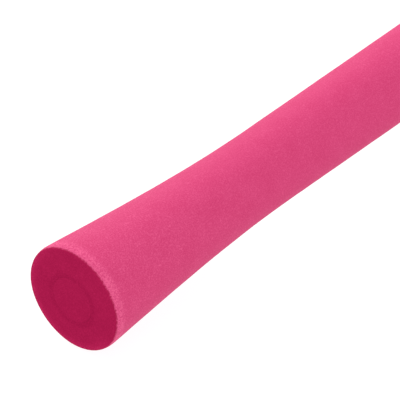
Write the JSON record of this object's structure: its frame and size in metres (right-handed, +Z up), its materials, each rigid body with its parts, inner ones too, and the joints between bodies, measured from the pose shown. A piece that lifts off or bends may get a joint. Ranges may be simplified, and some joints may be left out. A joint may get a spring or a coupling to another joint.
{
  "type": "hair roller",
  "caption": "Bendable foam hair roller: a straight foam rod with trumpet-flared ends and a soft wire inside that holds any bend.",
  "frame": {"origin": "the middle of the rod, on its centre line, half way between the two end faces", "axes": "+X along the straight rod towards the right end, +Z up while it lies on its two rims; it bends about axes parallel to Z"},
  "size_m": [0.24, 0.026, 0.026],
  "materials": {
    "sleeve_foam": "matte",
    "plug_foam": "matte",
    "jacket_plastic": "satin",
    "soft_wire": "satin",
    "tip_plastic": "satin"
  },
  "bodies": {
    "middle": {"foam_sleeve_middle": "sleeve_foam", "wire_jacket_middle": "jacket_plastic", "wire_core_middle": "soft_wire"},
    "left_1": {"foam_sleeve_left_1": "sleeve_foam", "wire_jacket_left_1": "jacket_plastic", "wire_core_left_1": "soft_wire"},
    "left_2": {"foam_sleeve_left_2": "sleeve_foam", "wire_jacket_left_2": "jacket_plastic", "wire_core_left_2": "soft_wire"},
    "left_3": {"foam_sleeve_left_3": "sleeve_foam", "wire_jacket_left_3": "jacket_plastic", "wire_core_left_3": "soft_wire"},
    "left_4": {"foam_sleeve_left_4": "sleeve_foam", "wire_jacket_left_4": "jacket_plastic", "wire_core_left_4": "soft_wire"},
    "left_5": {"foam_sleeve_left_5": "sleeve_foam", "wire_jacket_left_5": "jacket_plastic", "wire_core_left_5": "soft_wire"},
    "left_6": {"foam_sleeve_left_6": "sleeve_foam", "wire_jacket_left_6": "jacket_plastic", "wire_core_left_6": "soft_wire"},
    "left_7": {"foam_sleeve_left_7": "sleeve_foam", "wire_jacket_left_7": "jacket_plastic", "wire_core_left_7": "soft_wire", "end_plug_left": "plug_foam", "wire_tip_left": "tip_plastic"},
    "right_1": {"foam_sleeve_right_1": "sleeve_foam", "wire_jacket_right_1": "jacket_plastic", "wire_core_right_1": "soft_wire"},
    "right_2": {"foam_sleeve_right_2": "sleeve_foam", "wire_jacket_right_2": "jacket_plastic", "wire_core_right_2": "soft_wire"},
    "right_3": {"foam_sleeve_right_3": "sleeve_foam", "wire_jacket_right_3": "jacket_plastic", "wire_core_right_3": "soft_wire"},
    "right_4": {"foam_sleeve_right_4": "sleeve_foam", "wire_jacket_right_4": "jacket_plastic", "wire_core_right_4": "soft_wire"},
    "right_5": {"foam_sleeve_right_5": "sleeve_foam", "wire_jacket_right_5": "jacket_plastic", "wire_core_right_5": "soft_wire"},
    "right_6": {"foam_sleeve_right_6": "sleeve_foam", "wire_jacket_right_6": "jacket_plastic", "wire_core_right_6": "soft_wire"},
    "right_7": {"foam_sleeve_right_7": "sleeve_foam", "wire_jacket_right_7": "jacket_plastic", "wire_core_right_7": "soft_wire", "end_plug_right": "plug_foam", "wire_tip_right": "tip_plastic"}
  },
  "joints": [
    {"name": "left_bend_1", "type": "hinge", "parent": "middle", "child": "left_1", "pos_m": [-0.00692, 0, 0], "axis": [0, 0, 1], "range_deg": [-33, 33]},
    {"name": "left_bend_2", "type": "hinge", "parent": "left_1", "child": "left_2", "pos_m": [-0.02077, 0, 0], "axis": [0, 0, 1], "range_deg": [-33, 33]},
    {"name": "left_bend_3", "type": "hinge", "parent": "left_2", "child": "left_3", "pos_m": [-0.03462, 0, 0], "axis": [0, 0, 1], "range_deg": [-33, 33]},
    {"name": "left_bend_4", "type": "hinge", "parent": "left_3", "child": "left_4", "pos_m": [-0.04846, 0, 0], "axis": [0, 0, 1], "range_deg": [-33, 33]},
    {"name": "left_bend_5", "type": "hinge", "parent": "left_4", "child": "left_5", "pos_m": [-0.06231, 0, 0], "axis": [0, 0, 1], "range_deg": [-33, 33]},
    {"name": "left_bend_6", "type": "hinge", "parent": "left_5", "child": "left_6", "pos_m": [-0.07615, 0, 0], "axis": [0, 0, 1], "range_deg": [-33, 33]},
    {"name": "left_bend_7", "type": "hinge", "parent": "left_6", "child": "left_7", "pos_m": [-0.09, 0, 0], "axis": [0, 0, 1], "range_deg": [-33, 33]},
    {"name": "right_bend_1", "type": "hinge", "parent": "middle", "child": "right_1", "pos_m": [0.00692, 0, 0], "axis": [0, 0, 1], "range_deg": [-33, 33]},
    {"name": "right_bend_2", "type": "hinge", "parent": "right_1", "child": "right_2", "pos_m": [0.02077, 0, 0], "axis": [0, 0, 1], "range_deg": [-33, 33]},
    {"name": "right_bend_3", "type": "hinge", "parent": "right_2", "child": "right_3", "pos_m": [0.03462, 0, 0], "axis": [0, 0, 1], "range_deg": [-33, 33]},
    {"name": "right_bend_4", "type": "hinge", "parent": "right_3", "child": "right_4", "pos_m": [0.04846, 0, 0], "axis": [0, 0, 1], "range_deg": [-33, 33]},
    {"name": "right_bend_5", "type": "hinge", "parent": "right_4", "child": "right_5", "pos_m": [0.06231, 0, 0], "axis": [0, 0, 1], "range_deg": [-33, 33]},
    {"name": "right_bend_6", "type": "hinge", "parent": "right_5", "child": "right_6", "pos_m": [0.07615, 0, 0], "axis": [0, 0, 1], "range_deg": [-33, 33]},
    {"name": "right_bend_7", "type": "hinge", "parent": "right_6", "child": "right_7", "pos_m": [0.09, 0, 0], "axis": [0, 0, 1], "range_deg": [-33, 33]}
  ]
}
